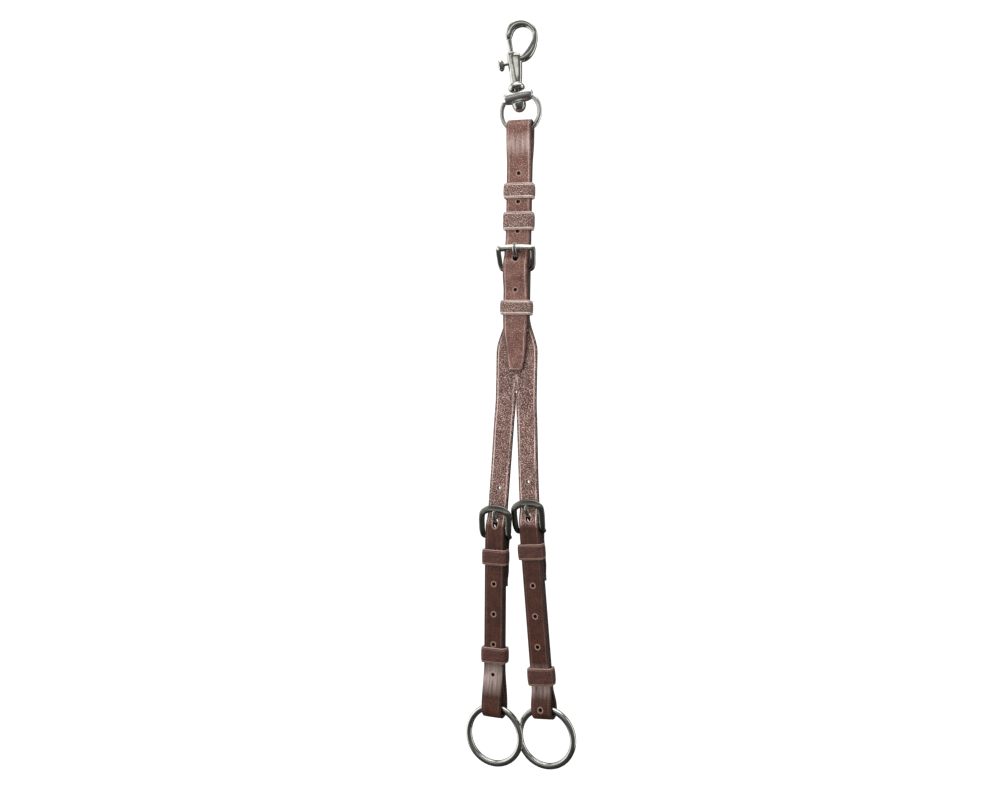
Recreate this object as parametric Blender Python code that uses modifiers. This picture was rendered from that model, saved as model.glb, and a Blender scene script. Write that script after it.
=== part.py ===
"""Martingale fork: a bolt snap with a swivel eye, a buckled strap, and two buckled arms with rings.

It hangs by the hook.  +Z is up, the straps face -Y, and +X is to the right of someone who looks at
their face.  The origin is the inside of the hook's crown.  A strap's route is given as (depth,
through) pairs: depth runs down the strap's line, and through runs back from its middle plane.
"""
from collections import namedtuple
import math

import bmesh
import bpy
from mathutils import Matrix, Vector

MM = 0.001
GAP = 0.35 * MM                    # clearance between pieces that touch on the real object

# Leather
STRAP_WIDTH = 19 * MM
FORK_WIDTH = 32 * MM
ARM_WIDTH = 16 * MM
LEATHER = 3.0 * MM
CHAPE_LEATHER = 1.6 * MM
KEEPER_LEATHER = 1.6 * MM
HOLE_RADIUS = 1.15 * MM
LAYER = 1.7 * MM                   # middle plane of each layer where two lie together

# Snap and swivel, along the snap's own axis, measured up from the swivel's middle
SNAP_TILT = math.radians(-9)
SWIVEL = Vector((-2.4, 0, -53.2)) * MM
BORE_RADIUS = 2.2 * MM
BORE_FLOOR = 12.0 * MM
BOLT_RADIUS = 1.85 * MM
BOLT_BOTTOM = 22.6 * MM
BOLT_TOP = 45.2 * MM
BOLT_TRAVEL = 7.5 * MM
STUD_HEIGHT = 26.6 * MM
PIVOT_RADIUS = 2.3 * MM
EYE_RADIUS = 15.0 * MM
EYE_WIRE = 1.9 * MM
EYE_DROP = 12.0 * MM

# Upper strap, depths below the origin
FOLD_TOP = 72.3 * MM
EYE_LOOP = 5.5 * MM                # half the space between the layers round the eye
TOP_BAR_DEPTH = 169.3 * MM
TOP_HEEL_DEPTH = 184.7 * MM
TOP_HEEL_THROUGH = -3.5 * MM
FORK_BOTTOM = 278.0 * MM
PIVOT_DEPTH = 281.0 * MM           # where the arms bend away from the fork

# Buckled arms, depths below the crest of the buckle
HEEL_DEPTH = 23.0 * MM
HEEL_THROUGH = 5.1 * MM
HEEL_BAR = 1.6 * MM
FRONT_BAR = 2.2 * MM
FIXED_KEEPER = 39.2 * MM
RING_RADIUS = 21.5 * MM
RING_WIRE = 2.4 * MM
RING_LOOP = 5.9 * MM
LOOP_YAW = math.radians(-9)        # the lower loops hang turned a little to the left

LEATHER_DARK = (0.075, 0.040, 0.027, 1)
LEATHER_TOP = (0.12, 0.075, 0.055, 1)
NICKEL = (0.62, 0.61, 0.58, 1)
STEEL = (0.35, 0.35, 0.36, 1)

# A strap's line: where it starts, how far it leans on each side of its bend, and how far it turns.
Line = namedtuple("Line", "x top lean_above lean_below bend_start bend_length yaw")
# An arm: its line, and the depths of its crest, running keeper and ring below the fork's pivots.
Arm = namedtuple("Arm", "name line crest keeper keeper_height ring_depth hole_depths")

UPPER = Line(-0.3 * MM, -FOLD_TOP, -0.0187, -0.0187, 0.1, 0.1, 0)
LEFT = Arm("left", Line(-12.2 * MM, -PIVOT_DEPTH, -0.077, -0.008, 0.070, 0.055, LOOP_YAW),
           82.7 * MM, 196.4 * MM, 11.8 * MM, 258.1 * MM, (-13.4, 59.6, 82.6, 105.6, 128.6))
RIGHT = Arm("right", Line(3.8 * MM, -PIVOT_DEPTH, 0.020, 0.080, 0.040, 0.080, LOOP_YAW),
            77.6 * MM, 210.4 * MM, 13.1 * MM, 256.4 * MM, (-13.4, 64.5, 87.5, 110.5, 133.5, 156.5))


def clear_scene():
    for old in list(bpy.data.objects):
        bpy.data.objects.remove(old, do_unlink=True)


def collection(name):
    made = bpy.data.collections.new(name)
    bpy.context.scene.collection.children.link(made)
    return made


def material(name, color, roughness, metallic):
    made = bpy.data.materials.new(name)
    made.use_nodes = True
    shader = made.node_tree.nodes["Principled BSDF"]
    shader.inputs["Base Color"].default_value = color
    shader.inputs["Roughness"].default_value = roughness
    shader.inputs["Metallic"].default_value = metallic
    return made


clear_scene()
PARTS = collection("martingale")
CUTTERS = collection("cutters")


def add_object(name, data, look=None, matrix=None):
    """Put a part in the scene, or a cutter when it has no look."""
    made = bpy.data.objects.new(name, data)
    if look is None:
        CUTTERS.objects.link(made)
        made.hide_render = True
        made.display_type = "WIRE"
    else:
        PARTS.objects.link(made)
        made.data.materials.append(look)
    if matrix is not None:
        made.matrix_world = matrix
    return made


def boolean(target, tool, operation="DIFFERENCE"):
    step = target.modifiers.new(operation.title() + " " + tool.name, "BOOLEAN")
    step.operation = operation
    step.object = tool
    step.solver = "EXACT"


def smooth(target, angle=35):
    target.data.shade_smooth()
    target.data.set_sharp_from_angle(angle=math.radians(angle))


def ease(amount):
    amount = min(1, max(0, amount))
    return amount * amount * (3 - 2 * amount)


# Strap lines and routes

def lean_and_shift(line, depth):
    """The line's slope at a depth, and how far it has moved sideways."""
    amount = min(1, max(0, (depth - line.bend_start) / line.bend_length))
    change = line.lean_below - line.lean_above
    lean = line.lean_above + change * ease(amount)
    bend = amount ** 3 - amount ** 4 / 2
    past = max(0, depth - line.bend_start - line.bend_length)
    return lean, line.lean_above * depth + change * (bend * line.bend_length + past)


def strap_frame(line, depth, turned=1.0):
    """The frame at a depth on a line: X across the strap, Y through it and Z up along it."""
    lean, shift = lean_and_shift(line, depth)
    middle = Matrix.Translation((line.x + shift, 0, line.top - depth))
    return middle @ Matrix.Rotation(-math.atan(lean), 4, "Y") @ Matrix.Rotation(
        line.yaw * turned, 4, "Z")


def turn_down_to(line, depth, crest):
    """How much of the line's turn is reached: none at its top, all of it at the buckle."""
    return ease(depth / (crest - 20 * MM)) if line.yaw else 0


def glide(knots, steps=6):
    """Join (depth, through) knots with level runs and smooth changes of level."""
    route = [knots[0]]
    for (depth, level), (next_depth, next_level) in zip(knots, knots[1:]):
        count = steps if abs(next_level - level) > 0.1 * MM else 1
        for step in range(1, count + 1):
            share = step / count
            route.append((depth + (next_depth - depth) * share,
                          level + (next_level - level) * ease(share)))
    return route


def half_turn(depth, through, radius, start, side, steps=10):
    """Half a circle about (depth, through), from the start side over the end that side names."""
    return [(depth + side * radius * math.sin(math.pi * step / steps),
             through + start * radius * math.cos(math.pi * step / steps))
            for step in range(1, steps)]


def ribbon(name, line, stations, thickness, look, crest=1.0):
    """A strap: an open strip of (depth, through, half width) stations, made solid."""
    mesh = bpy.data.meshes.new(name)
    shape = bmesh.new()
    rows = []
    for depth, through, half in stations:
        frame = strap_frame(line, depth, turn_down_to(line, depth, crest))
        rows.append([shape.verts.new(frame @ Vector((side * half, through, 0))) for side in (-1, 1)])
    for above, below in zip(rows, rows[1:]):
        shape.faces.new((above[0], above[1], below[1], below[0]))
    shape.to_mesh(mesh)
    shape.free()
    made = add_object(name, mesh, look)
    solid = made.modifiers.new("Leather", "SOLIDIFY")
    solid.thickness = thickness
    solid.offset = 0
    solid.use_even_offset = True
    return made


def keeper(name, line, depth, height, half_across, front, back, look, crest=1.0):
    """A leather loop round the layers between the two through levels front and back."""
    corner = 1.5 * MM
    reach = half_across + GAP + KEEPER_LEATHER / 2
    near = front - GAP - KEEPER_LEATHER / 2
    far = back + GAP + KEEPER_LEATHER / 2
    outline = []
    for start, (x, y) in enumerate(((reach, far), (-reach, far), (-reach, near), (reach, near))):
        middle_x = x - math.copysign(corner, x)
        middle_y = far - corner if y == far else near + corner
        for step in range(4):
            angle = math.pi / 2 * (start + step / 3)
            outline.append((middle_x + corner * math.cos(angle), middle_y + corner * math.sin(angle)))
    frame = strap_frame(line, depth, turn_down_to(line, depth, crest))
    mesh = bpy.data.meshes.new(name)
    shape = bmesh.new()
    top, bottom = ([shape.verts.new((x, y, z)) for x, y in outline] for z in (height / 2, -height / 2))
    for index in range(len(outline)):
        after = (index + 1) % len(outline)
        shape.faces.new((top[index], bottom[index], bottom[after], top[after]))
    shape.to_mesh(mesh)
    shape.free()
    made = add_object(name, mesh, look, frame)
    solid = made.modifiers.new("Leather", "SOLIDIFY")
    solid.thickness = KEEPER_LEATHER
    solid.offset = 0
    solid.use_even_offset = True
    return made


# Metal shapes

def turned(name, profile, matrix, look=None, steps=24, closed=False):
    """A turned shape: (radius, height) points that run down the outer side."""
    mesh = bpy.data.meshes.new(name)
    count = len(profile)
    edges = [(index, index + 1) for index in range(count - 1)]
    if closed:
        edges.append((count - 1, 0))
    mesh.from_pydata([(radius, 0, height) for radius, height in profile], edges, [])
    made = add_object(name, mesh, look, matrix)
    screw = made.modifiers.new("Turn", "SCREW")
    screw.steps = steps
    screw.render_steps = steps
    screw.use_merge_vertices = True
    screw.merge_threshold = 0.00001
    weld = made.modifiers.new("Poles", "WELD")
    weld.merge_threshold = 0.00001
    return made


def rod(name, points, radii, matrix, look=None, closed=False):
    """A round rod through points, each with its own radius, as a mesh with welded ends."""
    curve = bpy.data.curves.new(name + "_path", "CURVE")
    curve.dimensions = "3D"
    curve.bevel_depth = 1.0
    curve.bevel_resolution = 2
    curve.use_fill_caps = True
    spline = curve.splines.new("POLY")
    spline.points.add(len(points) - 1)
    spline.use_cyclic_u = closed
    for knot, point, radius in zip(spline.points, points, radii):
        knot.co = (*point, 1)
        knot.radius = radius
    guide = bpy.data.objects.new(name + "_path", curve)
    CUTTERS.objects.link(guide)
    guide.matrix_world = matrix
    bpy.context.view_layer.update()
    evaluated = guide.evaluated_get(bpy.context.evaluated_depsgraph_get())
    mesh = bpy.data.meshes.new_from_object(evaluated)
    bpy.data.objects.remove(guide, do_unlink=True)
    shape = bmesh.new()
    shape.from_mesh(mesh)
    bmesh.ops.remove_doubles(shape, verts=shape.verts, dist=0.00001)
    bmesh.ops.recalc_face_normals(shape, faces=shape.faces)
    shape.to_mesh(mesh)
    shape.free()
    mesh.materials.clear()
    return add_object(name, mesh, look, matrix)


def cutter(name, matrix, radius, length, stretch=1.0, sides=20):
    """A cylinder cutter along its own Z, stretched along its own Y."""
    mesh = bpy.data.meshes.new(name)
    shape = bmesh.new()
    bmesh.ops.create_cone(shape, cap_ends=True, segments=sides, radius1=radius, radius2=radius,
                          depth=length)
    bmesh.ops.scale(shape, vec=(1, stretch, 1), verts=shape.verts)
    shape.to_mesh(mesh)
    shape.free()
    return add_object(name, mesh, None, matrix)


def box_cutter(name, matrix, low, high):
    mesh = bpy.data.meshes.new(name)
    shape = bmesh.new()
    bmesh.ops.create_cube(shape, size=1)
    low, high = Vector(low), Vector(high)
    bmesh.ops.scale(shape, vec=high - low, verts=shape.verts)
    bmesh.ops.translate(shape, vec=(high + low) / 2, verts=shape.verts)
    shape.to_mesh(mesh)
    shape.free()
    return add_object(name, mesh, None, matrix)


def spline_through(points, steps):
    """Sample a smooth curve through hand-placed tuples of any length."""
    ends = [points[0]] + list(points) + [points[-1]]
    samples = []
    for before, start, end, after in zip(ends, ends[1:], ends[2:], ends[3:]):
        for step in range(steps):
            t = step / steps
            samples.append(tuple(
                0.5 * (2 * b + (c - a) * t + (2 * a - 5 * b + 4 * c - d) * t ** 2
                       + (3 * b - a - 3 * c + d) * t ** 3)
                for a, b, c, d in zip(before, start, end, after)))
    samples.append(tuple(points[-1]))
    return samples


def in_mm(pairs):
    return [tuple(value * MM for value in pair) for pair in pairs]


# Snap and swivel

def make_snap(snap_frame, nickel, steel):
    barrel = in_mm([(0, 34.2), (3.3, 34.2), (3.8, 33.5), (3.8, 9.6), (4.8, 9.1), (5.9, 7.8), (6.4, 6.3),
                    (6.2, 5.2), (0, 5.2)])
    body = turned("snap_body", barrel, snap_frame, nickel)
    # The hook from its heel beside the barrel, over the crown, to its tip: across, up and radius.
    hook = in_mm([(-2.6, -24.4, 2.6), (2.4, -23.9, 2.9), (6.0, -21.0, 3.2), (9.0, -16.2, 2.8),
                  (10.8, -10.6, 2.1), (10.4, -5.2, 2.05), (7.6, -0.9, 2.35), (3.6, 1.8, 2.75),
                  (-1.2, 2.55, 3.2), (-5.6, 1.0, 3.15), (-8.3, -2.2, 3.05), (-9.3, -5.2, 2.9),
                  (-9.7, -7.7, 2.6)])
    samples = spline_through(hook, 3)
    arc = rod("hook_rod", [(x, 0, z) for x, z, _ in samples], [r for _, _, r in samples],
              Matrix.Identity(4))
    boolean(body, arc, "UNION")
    shank = in_mm([(-2.7, 0, -43), (-2.9, 0, -33), (-3.3, 0, -21.2)])
    boolean(body, rod("shank", shank, [3.5 * MM, 3.6 * MM, 3.8 * MM], Matrix.Identity(4)), "UNION")
    along = snap_frame @ Matrix.Translation((0, 0, (BORE_FLOOR + 0.04) / 2))
    boolean(body, cutter("bore", along, BORE_RADIUS, 0.04 - BORE_FLOOR))
    seat = snap_frame @ Matrix.Translation((0, 0, 7.55 * MM))
    boolean(body, cutter("rivet_seat", seat, PIVOT_RADIUS + 0.3 * MM, 6.7 * MM))
    slot_low = STUD_HEIGHT - BOLT_TRAVEL - 1.7 * MM
    boolean(body, box_cutter("stud_slot", snap_frame, (-6 * MM, -1.5 * MM, slot_low),
                             (0, 1.5 * MM, STUD_HEIGHT + 1.7 * MM)))
    bolt = turned("snap_bolt", [(0, BOLT_TOP), (1.3 * MM, BOLT_TOP - 0.3 * MM),
                                (BOLT_RADIUS, BOLT_TOP - 1.2 * MM), (BOLT_RADIUS, BOLT_BOTTOM),
                                (0, BOLT_BOTTOM)], snap_frame, nickel, 20)
    side = snap_frame @ Matrix.Translation((0, 0, STUD_HEIGHT)) @ Matrix.Rotation(-math.pi / 2, 4, "Y")
    boolean(bolt, cutter("stud_hole", side @ Matrix.Translation((0, 0, 1.5 * MM)), 0.95 * MM, 2 * MM))
    stud = in_mm([(0, 11.4), (2.4, 11.2), (3.9, 10.3), (4.5, 9.0), (4.0, 7.8), (2.2, 6.9), (1.1, 6.3),
                  (1.1, 2.3), (0.65, 2.2), (0.65, 0.9), (0, 0.9)])
    turned("bolt_thumb_stud", stud, side, nickel, 16)
    turns, per_turn, radius = 6, 10, 1.45 * MM
    low, high = BORE_FLOOR + 0.6 * MM, BOLT_BOTTOM - 0.6 * MM
    coil = []
    for step in range(turns * per_turn + 1):
        angle = 2 * math.pi * step / per_turn
        coil.append((radius * math.cos(angle), radius * math.sin(angle),
                     low + (high - low) * step / (turns * per_turn)))
    rod("bolt_spring", coil, [0.25 * MM] * len(coil), snap_frame, steel)
    rivet = in_mm([(0, 10.4), (2.3, 10.4), (2.3, -5.2), (5.3, -5.2), (5.3, -6.4), (4.6, -9.2),
                   (3.0, -11.0), (0, -11.4)])
    turned("swivel_rivet", rivet, snap_frame, nickel)


def make_eye(snap_frame, nickel):
    across = snap_frame @ Matrix.Rotation(math.pi / 2, 4, "Y")
    boss = in_mm([(0, 11.6), (2.9, 11.4), (3.8, 10.2), (4.5, 7.4), (4.75, 3.8), (4.75, -3.8), (4.5, -7.4),
                  (3.8, -10.2), (2.9, -11.4), (0, -11.6)])
    eye = turned("swivel_eye", boss, across, nickel, 20)
    opening = math.asin(7.5 * MM / EYE_RADIUS)
    steps = 36
    arc = []
    for step in range(steps + 1):
        angle = math.pi / 2 + opening + (2 * math.pi - 2 * opening) * step / steps
        arc.append((EYE_RADIUS * math.cos(angle), 0, EYE_RADIUS * math.sin(angle) - EYE_DROP))
    boolean(eye, rod("eye_wire", arc, [EYE_WIRE] * len(arc), snap_frame), "UNION")
    boolean(eye, cutter("rivet_hole", snap_frame, PIVOT_RADIUS + 0.3 * MM, 12 * MM))


# Buckles

def make_frame(name, matrix, outline, radii, look):
    """A cast buckle frame: one closed rod through (across, through, up) points."""
    rod(name, outline, radii, matrix, look, closed=True)


def make_tongue(name, matrix, heel, path, radii, look):
    """A tongue: a sleeve on the heel bar and the pin that goes through the strap."""
    inner, outer, half = HEEL_BAR + 0.3 * MM, HEEL_BAR + 1.3 * MM, 2.2 * MM
    sleeve = [(outer, half), (outer, -half), (inner, -half), (inner, half)]
    at_heel = matrix @ Matrix.Translation(heel) @ Matrix.Rotation(math.pi / 2, 4, "Y")
    tongue = turned(name, sleeve, at_heel, look, 20, closed=True)
    boolean(tongue, rod(name + "_pin", path, radii, matrix), "UNION")


def tongue_hole(target, matrix, middle, along, half_height, name):
    """An oval hole that leaves the tongue room to lift; along is the tongue's own direction."""
    through = Vector(along).normalized()
    across = Vector((1, 0, 0))
    up = through.cross(across)
    turn = Matrix((across, up, through)).transposed().to_4x4()
    place = matrix @ Matrix.Translation(middle) @ turn
    boolean(target, cutter(name, place, 2.0 * MM, 11 * MM, half_height / (2.0 * MM)))


def round_holes(target, line, depths, through, name, crest=1.0):
    for number, depth in enumerate(depths):
        place = strap_frame(line, depth, turn_down_to(line, depth, crest))
        place = place @ Matrix.Translation((0, through, 0)) @ Matrix.Rotation(math.pi / 2, 4, "X")
        boolean(target, cutter(f"{name}_{number}", place, HOLE_RADIUS, 5 * MM, sides=12))


# Upper strap

def fork_half_width(depth):
    """Half the back layer's width: the neck widens into the fork."""
    share = ease((depth - 219 * MM) / (28 * MM))
    return (STRAP_WIDTH + (FORK_WIDTH - STRAP_WIDTH) * share) / 2


def make_upper_strap(leather, nickel):
    """Depths here run from the top of the strap's line, so FOLD_TOP is taken off each of them."""
    back = glide([(FORK_BOTTOM, LAYER), (250 * MM, LAYER), (245 * MM, LAYER), (240 * MM, LAYER),
                  (235 * MM, LAYER), (230 * MM, LAYER), (225 * MM, LAYER), (219 * MM, LAYER),
                  (108 * MM, LAYER), (84.5 * MM, EYE_LOOP), (77.8 * MM, EYE_LOOP)])
    fold = half_turn(77.8 * MM, 0, EYE_LOOP, 1, -1)
    front = glide(in_mm([(77.8, -5.5), (84.5, -5.5), (108, -1.7), (160, -1.7), (172, -4.9),
                         (182.5, -8.75), (188, -8.75), (201, -5.45), (222, -5.45),
                         (231, -5.45), (246, -1.7), (255.4, -1.7), (260.3, -1.7), (261.4, -1.7)]))
    tip = in_mm([(222, 9.5), (236, 8.8), (246, 7.8), (255.4, 6.8), (260.3, 5.4), (261.4, 3.6)])
    half = STRAP_WIDTH / 2

    def front_half(depth):
        for (start, wide), (end, narrow) in zip(tip, tip[1:]):
            if start < depth <= end + 1e-7:
                return wide + (narrow - wide) * (depth - start) / (end - start)
        return half

    stations = [(depth, through, fork_half_width(depth)) for depth, through in back]
    stations += [(depth, through, half) for depth, through in fold]
    stations += [(depth, through, front_half(depth)) for depth, through in front]
    strap = ribbon("fork_strap", UPPER, [(d - FOLD_TOP, t, h) for d, t, h in stations], LEATHER, leather)
    for side, arm in ((-1, LEFT), (1, RIGHT)):
        place = Matrix.Translation((arm.line.x, LAYER, arm.line.top)) @ Matrix.Rotation(
            math.pi / 2, 4, "X")
        boolean(strap, cutter(arm.name + "_pocket", place, ARM_WIDTH / 2 + 0.05 * MM, 6 * MM, sides=48))
    holes = [depth * MM - FOLD_TOP for depth in (111.9, 133.3, 155.5)]
    round_holes(strap, UPPER, holes, -LAYER, "billet_hole")
    round_holes(strap, UPPER, [200.1 * MM - FOLD_TOP], -5.6 * MM, "billet_hole_low")
    heel_frame = strap_frame(UPPER, TOP_HEEL_DEPTH - FOLD_TOP)
    hole = (0, -6.5 * MM, 8.1 * MM)
    tongue_hole(strap, heel_frame, hole, (0, -0.75, 0.66), 2.5 * MM, "top_tongue_hole")

    bar_up = TOP_HEEL_DEPTH - TOP_BAR_DEPTH
    bar_through = -9.25 * MM
    wide, low_wide = 12.8 * MM, 12.2 * MM
    outline = [(-wide, bar_through, bar_up), (-wide / 2, bar_through, bar_up),
               (wide / 2, bar_through, bar_up), (wide, bar_through, bar_up),
               (wide + 0.4 * MM, bar_through + 0.7 * MM, bar_up - 2 * MM),
               (low_wide + 0.4 * MM, TOP_HEEL_THROUGH - 1.0 * MM, 3.4 * MM),
               (low_wide - 0.5 * MM, TOP_HEEL_THROUGH - 0.2 * MM, 0.8 * MM),
               (low_wide - 2.2 * MM, TOP_HEEL_THROUGH, 0)]
    outline += [(-x, y, z) for x, y, z in reversed(outline[4:])]
    radii = [r * MM for r in (2.0, 2.3, 2.3, 2.0, 1.8, 1.6, 1.6, 1.5, 1.5, 1.6, 1.6, 1.8)]
    make_frame("top_buckle_frame", heel_frame, outline, radii, nickel)
    heel = Vector((0, TOP_HEEL_THROUGH, 0))
    path = in_mm([(0, -3.6, 2.4), (0, -4.2, 4.4), (0, -5.3, 6.8), (0, -7.6, 9.3), (0, -10.6, 11.8),
                  (0, -12.7, 14.0), (0, -13.3, 16.0), (0, -13.1, 18.4)])
    make_tongue("top_buckle_tongue", heel_frame, heel, path,
                [r * MM for r in (1.3, 1.35, 1.4, 1.4, 1.35, 1.25, 1.1, 0.8)], nickel)

    legs = glide(in_mm([(232, -0.9), (184.7, -0.9)]))
    legs += half_turn(TOP_HEEL_DEPTH, TOP_HEEL_THROUGH, 2.6 * MM, 1, -1)
    legs += glide(in_mm([(184.7, -6.1), (187.7, -6.1), (199, -2.8), (228, -2.8)]))
    chape = ribbon("top_buckle_chape", UPPER, [(d - FOLD_TOP, t, half) for d, t in legs],
                   CHAPE_LEATHER, leather)
    boolean(chape, box_cutter("chape_slot", heel_frame, (-2.8 * MM, -8 * MM, -7.2 * MM),
                              (2.8 * MM, -1.75 * MM, 6 * MM)))
    boolean(chape, box_cutter("chape_slot_top", heel_frame, (-2.8 * MM, -8 * MM, -3.4 * MM),
                              (2.8 * MM, 0.1 * MM, 6 * MM)))
    edge = LAYER + LEATHER / 2
    for name, middle, height, front_edge in (("upper_keeper", 125.0, 11.4, -edge),
                                             ("middle_keeper", 147.8, 13.4, -edge),
                                             ("neck_keeper", 213.5, 10.7, -6.95 * MM)):
        keeper(name, UPPER, middle * MM - FOLD_TOP, height * MM, half, front_edge, edge, leather)


# Arms

def make_arm(arm, leather, nickel):
    """One arm: it is its own billet, goes round the ring, and ends round its buckle's heel bar."""
    crest = arm.crest
    # The fold's inside rests under the ring's wire at the strap's two edges.
    drop = math.sqrt((RING_RADIUS - RING_WIRE) ** 2 - (ARM_WIDTH / 2) ** 2)
    fold = arm.ring_depth - drop + 0.6 * MM + LEATHER / 2 - RING_LOOP
    loop_start = arm.keeper + 8.2 * MM
    loop_full = fold - 1.5 * MM
    reach = ARM_WIDTH / 2 - 0.3 * MM
    end_steps = 7
    stations = []
    for step in range(end_steps):
        angle = math.pi / 2 * (1 - (step + 0.35) / end_steps)
        stations.append((-reach * math.sin(angle), LAYER, reach * math.cos(angle)))
    stations += [(0, LAYER, reach), (12 * MM, LAYER, ARM_WIDTH / 2)]
    billet = [(20 * MM, LAYER), (30 * MM, LAYER), (40 * MM, LAYER), (50 * MM, LAYER), (60 * MM, LAYER),
              (crest, LAYER), (crest + 5.5 * MM, 1.6 * MM), (crest + 17.5 * MM, -1.65 * MM),
              (crest + 28 * MM, -LAYER), (loop_start - 30 * MM, -LAYER), (loop_start, -LAYER),
              (loop_full, -RING_LOOP), (fold, -RING_LOOP)]
    route = glide(billet)
    route += half_turn(fold, 0, RING_LOOP, -1, 1)
    heel_depth = crest + HEEL_DEPTH
    turn = HEEL_BAR + 0.3 * MM + LEATHER / 2
    route += glide([(fold, RING_LOOP), (loop_full, RING_LOOP), (loop_start, LAYER),
                    (loop_start - 30 * MM, LAYER), (heel_depth + 10 * MM, LAYER), (heel_depth, LAYER)])
    route += half_turn(heel_depth, HEEL_THROUGH, turn, -1, -1)
    route += glide([(heel_depth, HEEL_THROUGH + turn), (crest + 32 * MM, 6.9 * MM),
                    (crest + 50 * MM, 6.9 * MM), (crest + 58 * MM, 5.1 * MM), (crest + 62 * MM, 5.1 * MM)])
    stations += [(depth, through, ARM_WIDTH / 2) for depth, through in route]
    strap = ribbon(arm.name + "_arm_strap", arm.line, stations, LEATHER, leather, crest)

    heel_frame = strap_frame(arm.line, heel_depth, 1)
    boolean(strap, box_cutter(arm.name + "_heel_slot", heel_frame, (-2.8 * MM, 0.05 * MM, -7 * MM),
                              (2.8 * MM, 12 * MM, 5.5 * MM)))
    tongue_hole(strap, heel_frame, (0, -0.9 * MM, 9.6 * MM), (0, -0.64, 0.77), 2.5 * MM,
                arm.name + "_tongue_hole")
    above = [crest + depth * MM for depth in arm.hole_depths if depth < 0]
    below = [crest + depth * MM for depth in arm.hole_depths if 0 < depth and
             crest + depth * MM < loop_start]
    round_holes(strap, arm.line, above, LAYER, arm.name + "_arm_hole", crest)
    round_holes(strap, arm.line, below, -LAYER, arm.name + "_loop_hole", crest)
    lowest = crest + arm.hole_depths[-1] * MM
    opened = ease((lowest - loop_start) / (loop_full - loop_start))
    round_holes(strap, arm.line, [lowest], -LAYER - (RING_LOOP - LAYER) * opened,
                arm.name + "_lowest_hole", crest)

    make_arm_buckle(arm.name, heel_frame, nickel)
    edge = LAYER + LEATHER / 2
    keeper(arm.name + "_fixed_keeper", arm.line, crest + FIXED_KEEPER, 11.6 * MM, ARM_WIDTH / 2,
           -edge, edge - 0.05 * MM, leather, crest)
    keeper(arm.name + "_running_keeper", arm.line, arm.keeper, arm.keeper_height, ARM_WIDTH / 2,
           -edge, edge, leather, crest)

    _, shift = lean_and_shift(arm.line, arm.ring_depth)
    middle = Vector((arm.line.x + shift, 0, arm.line.top - arm.ring_depth))
    hang = math.sqrt(RING_RADIUS ** 2 - (ARM_WIDTH / 2) ** 2)
    pivot = Matrix.Translation(middle + Vector((0, 0, hang))) @ Matrix.Rotation(arm.line.yaw, 4, "Z")
    steps = 48
    circle = []
    for step in range(steps):
        angle = 2 * math.pi * step / steps
        circle.append((RING_RADIUS * math.cos(angle), 0, RING_RADIUS * math.sin(angle) - hang))
    rod(arm.name + "_ring", circle, [RING_WIRE] * steps, pivot, nickel, closed=True)


def make_arm_buckle(name, heel_frame, nickel):
    """An arched frame whose front bar stands before the strap and whose heel bar lies behind it."""
    half, low_half = 10.5 * MM, 10.1 * MM
    top = HEEL_DEPTH - FRONT_BAR
    outline = []
    radii = []
    for step in range(9):
        share = step / 4 - 1
        outline.append((half * share, -7.75 * MM + HEEL_THROUGH, top - 3.6 * MM * abs(share) ** 3))
        radii.append((FRONT_BAR - 0.3 * MM * abs(share)))
    sides = [(half + 0.3 * MM, -7.6 * MM + HEEL_THROUGH, 13.4 * MM, 1.75 * MM),
             (half + 0.3 * MM, -7.1 * MM + HEEL_THROUGH, 5.5 * MM, 1.7 * MM),
             (half, -5.9 * MM + HEEL_THROUGH, 0.8 * MM, 1.65 * MM),
             (low_half + 0.1 * MM, -2.8 * MM + HEEL_THROUGH, -1.2 * MM, 1.6 * MM),
             (low_half - 0.8 * MM, -0.4 * MM + HEEL_THROUGH, -0.7 * MM, 1.6 * MM),
             (low_half - 2.6 * MM, HEEL_THROUGH, 0, 1.6 * MM)]
    outline += [(x, y, z) for x, y, z, _ in sides] + [(-x, y, z) for x, y, z, _ in reversed(sides)]
    radii += [r for *_, r in sides] + [r for *_, r in reversed(sides)]
    make_frame(name + "_buckle_frame", heel_frame, outline, radii, nickel)
    path = in_mm([(0, 4.5, 2.3), (0, 4.0, 4.0), (0, 2.0, 6.6), (0, -0.6, 9.4), (0, -3.2, 12.3),
                  (0, -5.0, 15.4), (0, -5.9, 18.6)])
    make_tongue(name + "_buckle_tongue", heel_frame, Vector((0, HEEL_THROUGH, 0)), path,
                [r * MM for r in (1.3, 1.35, 1.4, 1.4, 1.35, 1.2, 0.9)], nickel)


def main():
    nickel = material("nickel plate", NICKEL, 0.18, 1.0)
    steel = material("spring steel", STEEL, 0.35, 1.0)
    upper_leather = material("upper leather", LEATHER_TOP, 0.38, 0.0)
    dark_leather = material("arm leather", LEATHER_DARK, 0.42, 0.0)
    snap_frame = Matrix.Translation(SWIVEL) @ Matrix.Rotation(SNAP_TILT, 4, "Y")
    make_snap(snap_frame, nickel, steel)
    make_eye(snap_frame, nickel)
    make_upper_strap(upper_leather, nickel)
    for arm in (LEFT, RIGHT):
        make_arm(arm, dark_leather, nickel)
    for part in PARTS.objects:
        smooth(part)


main()
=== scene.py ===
"""Looks of the martingale fork: leather with creased edges, punched holes and cast nickel hardware.

Lengths are in metres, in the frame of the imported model: +Z is up and the straps face -Y.  A strap's
route is given as (depth, through) pairs, as in the part: depth runs down its line, through runs back.
"""

from collections import namedtuple
import math

import bmesh
import bpy
import numpy as np
from mathutils import Matrix, Vector


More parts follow.
